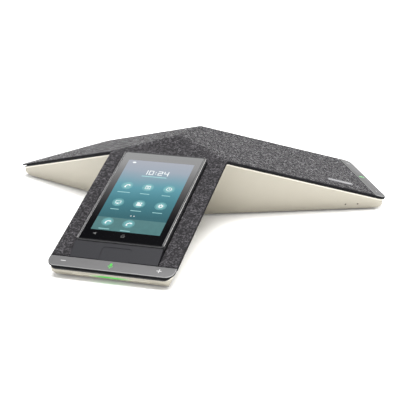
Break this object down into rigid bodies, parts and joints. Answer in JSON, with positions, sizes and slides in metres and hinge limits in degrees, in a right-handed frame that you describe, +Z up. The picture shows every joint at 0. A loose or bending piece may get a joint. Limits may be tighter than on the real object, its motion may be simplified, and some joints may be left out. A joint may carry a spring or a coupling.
{
  "type": "conference ip phone",
  "caption": "Pyramid-shaped conference phone with sloping fabric-topped arms, a touch screen on one arm, rocking control bars at the arm ends and a central speaker.",
  "frame": {"origin": "centre of the bounding box on the table, under the feet", "axes": "+Z up, -Y towards the arm that carries the screen, +X to the right of someone facing the screen"},
  "size_m": [0.3778, 0.3296, 0.0745],
  "materials": {
    "shell": "satin",
    "frame_black": "matt",
    "fabric": "woven, heathered",
    "bezel": "satin with a bright edge",
    "screen_glass": "gloss, tinted",
    "lcd": "lit panel",
    "sheet_metal": "stamped",
    "flex": "flat cable",
    "fascia": "satin",
    "badge": "satin",
    "label": "blank printed foil",
    "magnet": "plated",
    "cone": "pressed paper",
    "coil": "enamelled wire",
    "rubber_black": "matt",
    "board": "solder mask",
    "chip": "moulded",
    "connector": "plated",
    "screw": "zinc plated",
    "bar_grey": "satin",
    "icon_light": "light window",
    "switch": "moulded",
    "light_strip": "diffusing",
    "foot_rubber": "matt"
  },
  "bodies": {
    "housing": {"lower_shell": "shell", "reveal_frame": "frame_black", "top_frame": "frame_black", "fabric_cover": "fabric", "display_bezel": "bezel", "cover_glass": "screen_glass", "lcd_module": "lcd", "display_bracket": "sheet_metal", "display_flex": "flex", "fascia_panel": "fascia", "badge": "badge", "rating_label": "label", "speaker_basket": "sheet_metal", "speaker_magnet": "magnet", "speaker_surround": "rubber_black", "speaker_gasket": "rubber_black", "speaker_enclosure": "frame_black", "main_board": "board", "processor_shield": "sheet_metal", "lan_transformer": "chip", "lan_jack": "connector", "usb_a_jack": "connector", "micro_usb_jack": "connector", "lock_plate": "sheet_metal", "wifi_antennas": "board", "housing_screws": "screw", "board_screws": "screw", "key_board_front": "board", "key_switches_front": "switch", "light_strip_front": "light_strip", "foot_front": "foot_rubber", "mic_module_front": "board", "ribbon_front": "flex", "key_board_right": "board", "key_switches_right": "switch", "light_strip_right": "light_strip", "foot_right": "foot_rubber", "mic_module_right": "board", "ribbon_right": "flex", "key_board_left": "board", "key_switches_left": "switch", "light_strip_left": "light_strip", "foot_left": "foot_rubber", "mic_module_left": "board", "ribbon_left": "flex"},
    "cone": {"speaker_cone": "cone", "voice_coil": "coil"},
    "front_key": {"key_carrier_front": "frame_black"},
    "front_bar": {"control_bar_front": "bar_grey", "bar_icons_front": "icon_light", "rocker_pin_front": "screw"},
    "right_key": {"key_carrier_right": "frame_black"},
    "right_bar": {"control_bar_right": "bar_grey", "bar_icons_right": "icon_light", "rocker_pin_right": "screw"},
    "left_key": {"key_carrier_left": "frame_black"},
    "left_bar": {"control_bar_left": "bar_grey", "bar_icons_left": "icon_light", "rocker_pin_left": "screw"}
  },
  "joints": [
    {"name": "speaker_cone_travel", "type": "slide", "parent": "housing", "child": "cone", "axis": [0, 0, 1], "range_m": [-0.0015, 0.0015], "stiffness_N_per_m": 1200, "deforming": ["speaker_surround"]},
    {"name": "front_bar_press", "type": "slide", "parent": "housing", "child": "front_key", "axis": [0, 0, -1], "range_m": [0, 0.0005], "stiffness_N_per_m": 900, "springref_m": -0.0006},
    {"name": "front_bar_rock", "type": "hinge", "parent": "front_key", "child": "front_bar", "pos_m": [0, -0.15588, 0.0119], "axis": [0, -1, 0], "range_deg": [-0.6, 0.6], "stiffness_Nm_per_rad": 3},
    {"name": "right_bar_press", "type": "slide", "parent": "housing", "child": "right_key", "axis": [0, 0, -1], "range_m": [0, 0.0005], "stiffness_N_per_m": 900, "springref_m": -0.0006},
    {"name": "right_bar_rock", "type": "hinge", "parent": "right_key", "child": "right_bar", "pos_m": [0.15597, 0.11427, 0.0119], "axis": [0.866, 0.5, 0], "range_deg": [-0.6, 0.6], "stiffness_Nm_per_rad": 3},
    {"name": "left_bar_press", "type": "slide", "parent": "housing", "child": "left_key", "axis": [0, 0, -1], "range_m": [0, 0.0005], "stiffness_N_per_m": 900, "springref_m": -0.0006},
    {"name": "left_bar_rock", "type": "hinge", "parent": "left_key", "child": "left_bar", "pos_m": [-0.15597, 0.11427, 0.0119], "axis": [-0.866, 0.5, 0], "range_deg": [-0.6, 0.6], "stiffness_Nm_per_rad": 3}
  ]
}
